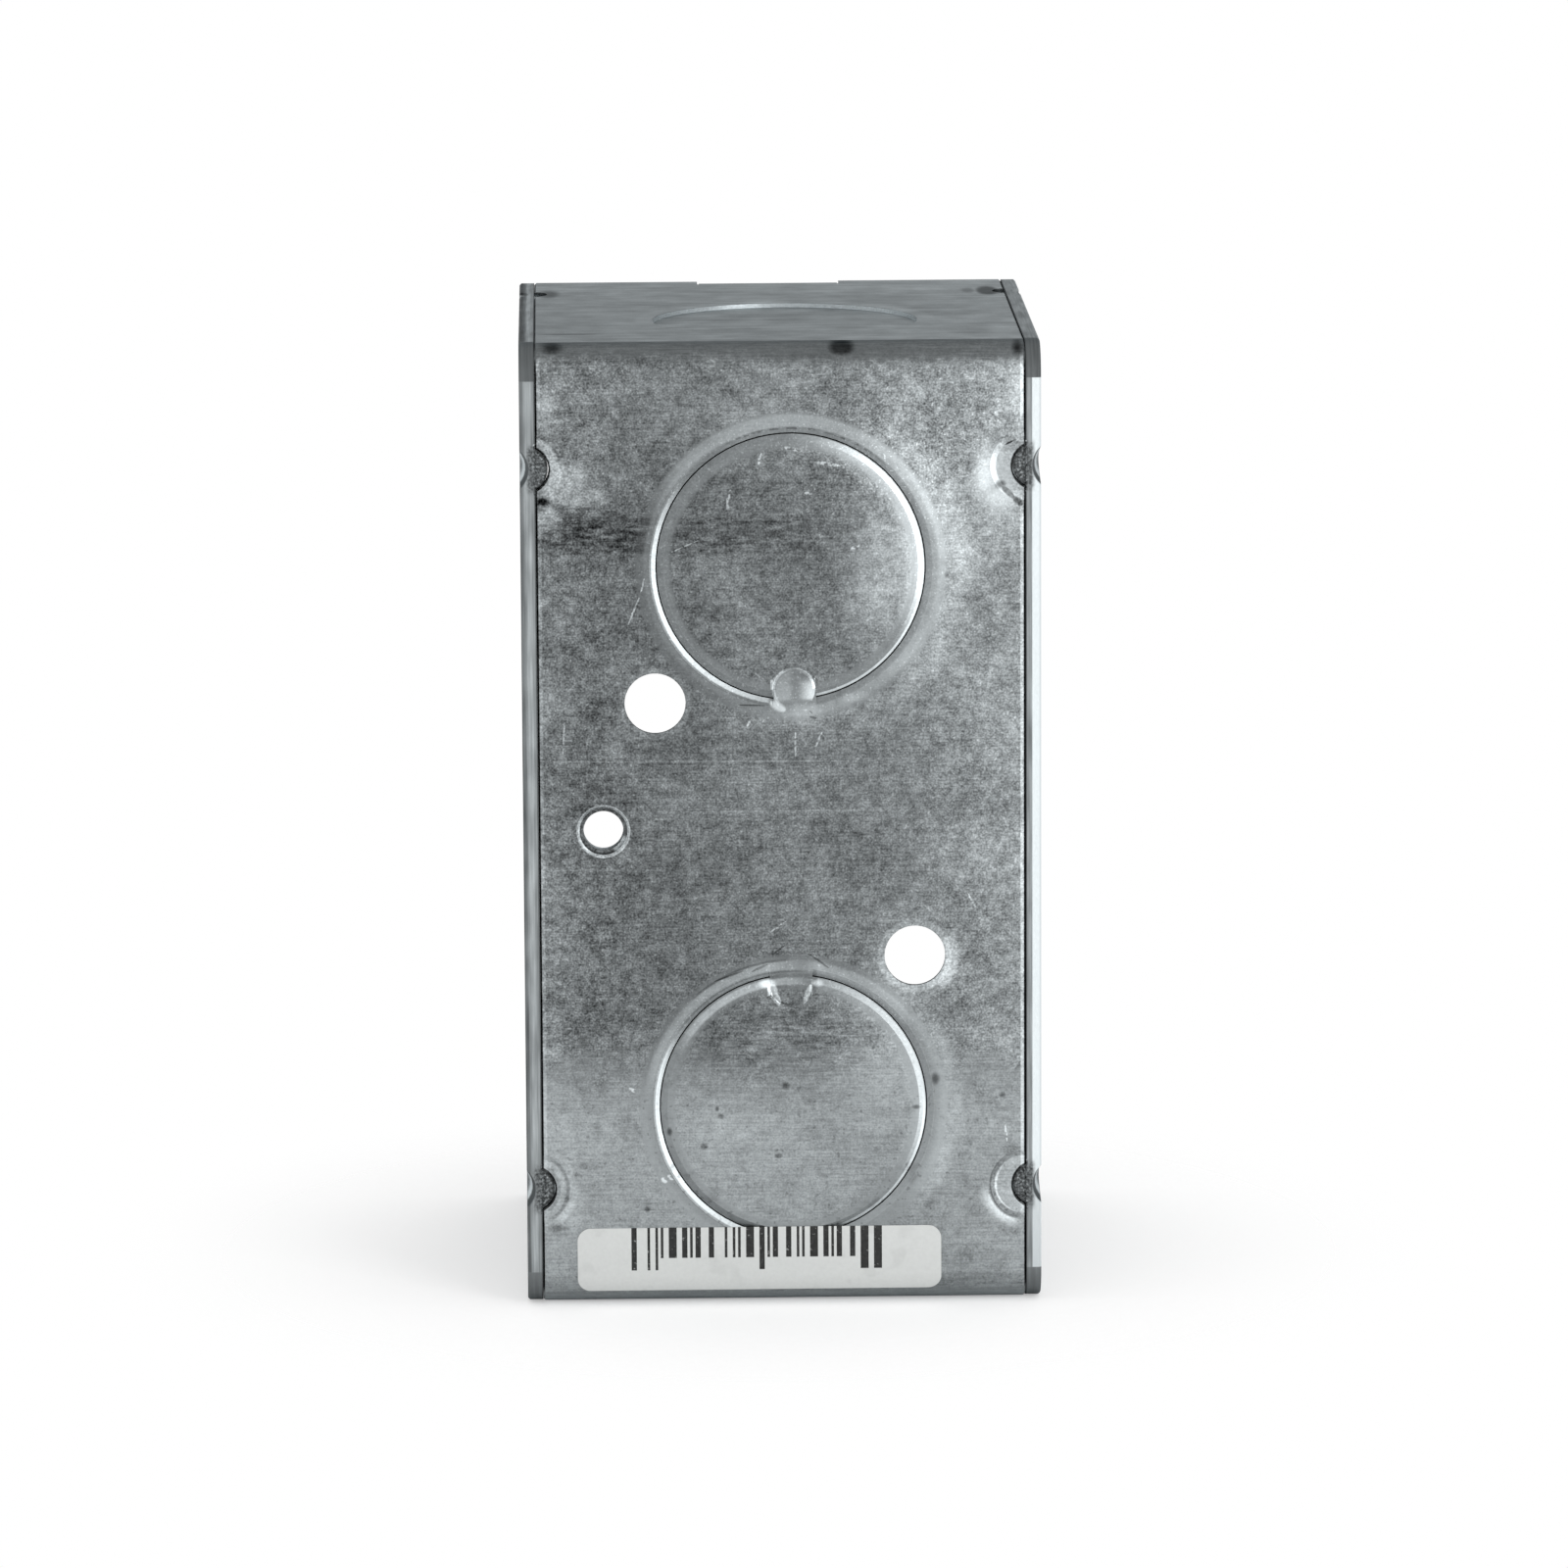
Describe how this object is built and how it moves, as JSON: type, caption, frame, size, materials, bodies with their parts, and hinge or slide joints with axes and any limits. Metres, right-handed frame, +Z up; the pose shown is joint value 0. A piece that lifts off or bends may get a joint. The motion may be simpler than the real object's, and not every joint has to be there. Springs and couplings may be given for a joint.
{
  "type": "handy box",
  "caption": "Steel electrical box for one wiring device: folded back and ends with staked side plates, round knockouts, mounting holes, ground hole and an open front.",
  "frame": {"origin": "middle of the bottom end's outer face, where the box stands", "axes": "+Z up the long side, +Y from the closed back towards the open front, +X to the right seen from the back"},
  "size_m": [0.054, 0.0541, 0.1016],
  "materials": {
    "galvanized_strip": "galvanized, fine spangle",
    "galvanized_plate": "galvanized, fine spangle",
    "label_paper": "matt printed sticker"
  },
  "bodies": {
    "root": {"back_and_ends": "galvanized_strip", "side_plate_left": "galvanized_plate", "side_plate_right": "galvanized_plate", "barcode_label": "label_paper"}
  },
  "joints": []
}
